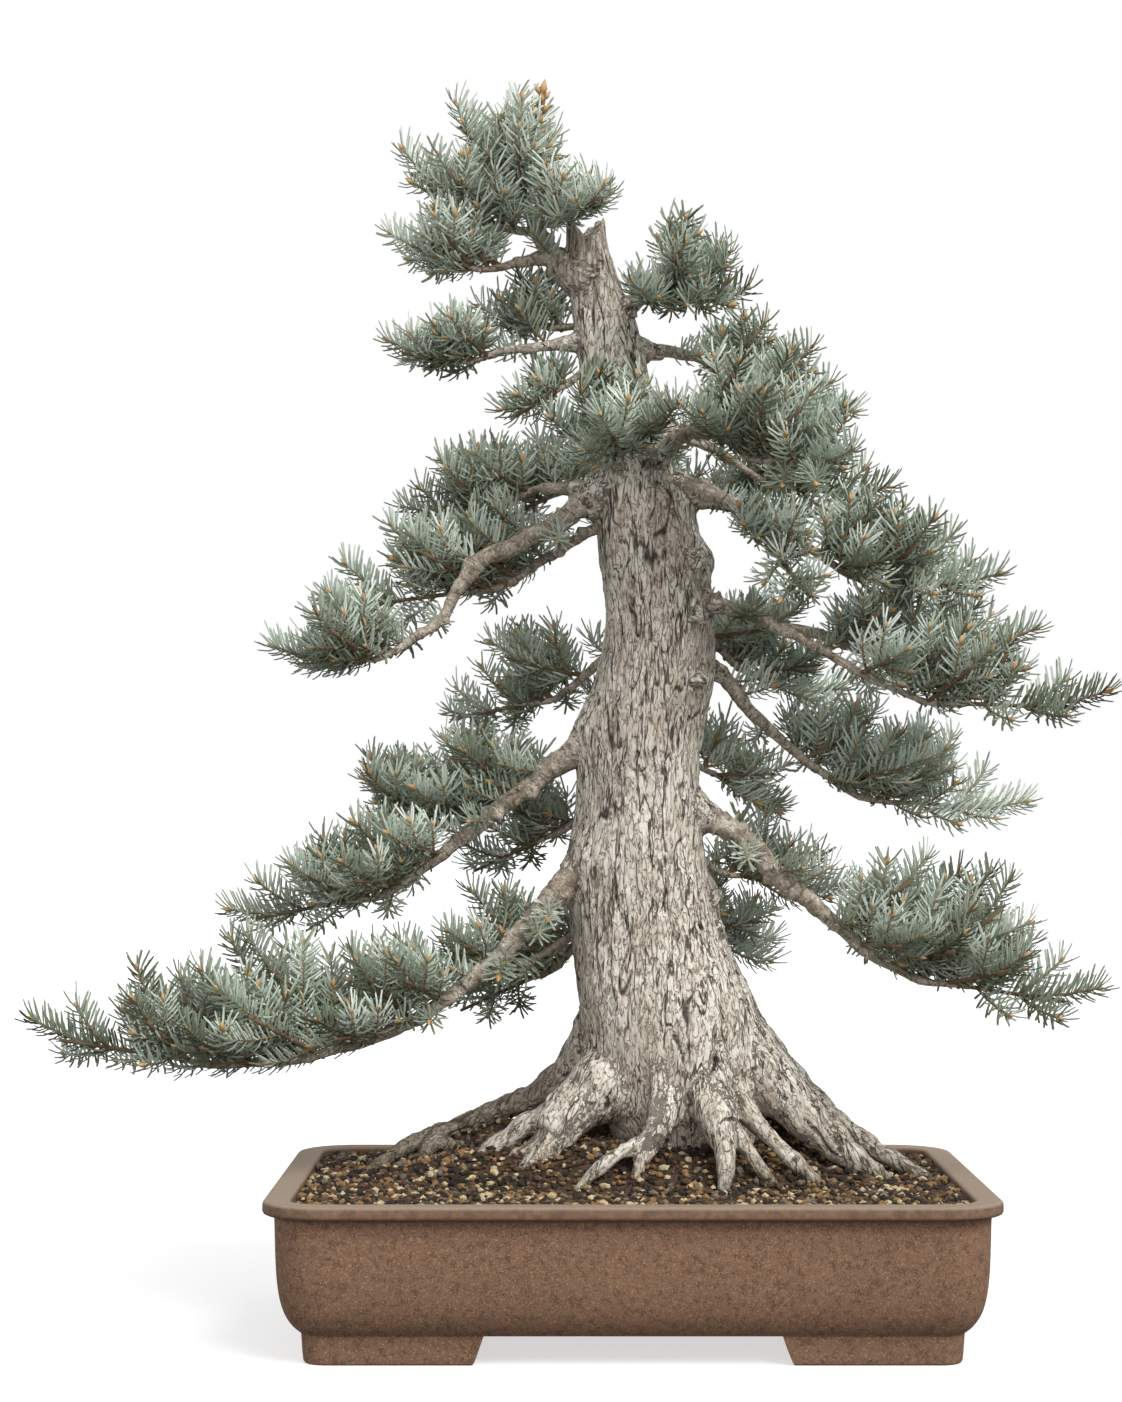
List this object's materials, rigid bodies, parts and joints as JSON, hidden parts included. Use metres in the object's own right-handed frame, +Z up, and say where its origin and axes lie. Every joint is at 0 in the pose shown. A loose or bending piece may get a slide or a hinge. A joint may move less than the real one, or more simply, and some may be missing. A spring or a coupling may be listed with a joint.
{
  "type": "white fir bonsai",
  "caption": "Old white fir bonsai with a tapering trunk, surface roots and tiered pads of blue-green needles, in a rectangular unglazed clay pot.",
  "frame": {"origin": "on the ground under the middle of the whole plant's box, so the pot's middle is a little to +X", "axes": "+Z up along the tree; +X to the viewer's right along the pot's length; the side looked at is -Y"},
  "size_m": [0.9777, 0.5113, 1.1625],
  "materials": {
    "clay": "matt unglazed",
    "soil": "coarse grains",
    "bark": "rough bark",
    "needles": "soft needles"
  },
  "bodies": {
    "root": {"bough_front": "bark", "bough_high_left": "bark", "bough_high_right": "bark", "bough_low_back": "bark", "bough_low_left": "bark", "bough_low_right": "bark", "bough_mid_back": "bark", "bough_mid_left": "bark", "bough_mid_right": "bark", "bough_right": "bark", "bough_right_long": "bark", "bough_right_slim": "bark", "bough_top_left": "bark", "bough_top_right": "bark", "bough_upper_left": "bark", "bough_upper_left_outer": "bark", "foliage_apex": "needles", "foliage_apex_left": "needles", "foliage_back_left_high": "needles", "foliage_back_left_low": "needles", "foliage_back_left_mid": "needles", "foliage_back_right_high": "needles", "foliage_back_right_low": "needles", "foliage_front_left": "needles", "foliage_front_right": "needles", "foliage_high_back": "needles", "foliage_high_left": "needles", "foliage_high_right": "needles", "foliage_leader_left": "needles", "foliage_leader_right": "needles", "foliage_low_back": "needles", "foliage_low_left": "needles", "foliage_low_left_inner": "needles", "foliage_low_right": "needles", "foliage_low_right_inner": "needles", "foliage_mid_back": "needles", "foliage_mid_left": "needles", "foliage_mid_left_low": "needles", "foliage_mid_left_top": "needles", "foliage_mid_right": "needles", "foliage_mid_right_inner": "needles", "foliage_right": "needles", "foliage_right_inner": "needles", "foliage_right_long": "needles", "foliage_right_long_top": "needles", "foliage_right_low": "needles", "foliage_right_slim": "needles", "foliage_top_left": "needles", "foliage_top_left_stub": "needles", "foliage_top_left_upper": "needles", "foliage_top_right": "needles", "foliage_upper_back": "needles", "foliage_upper_left": "needles", "foliage_upper_left_outer": "needles", "leader": "bark", "leader_left": "bark", "pot": "clay", "soil": "soil", "trunk": "bark"}
  },
  "joints": []
}
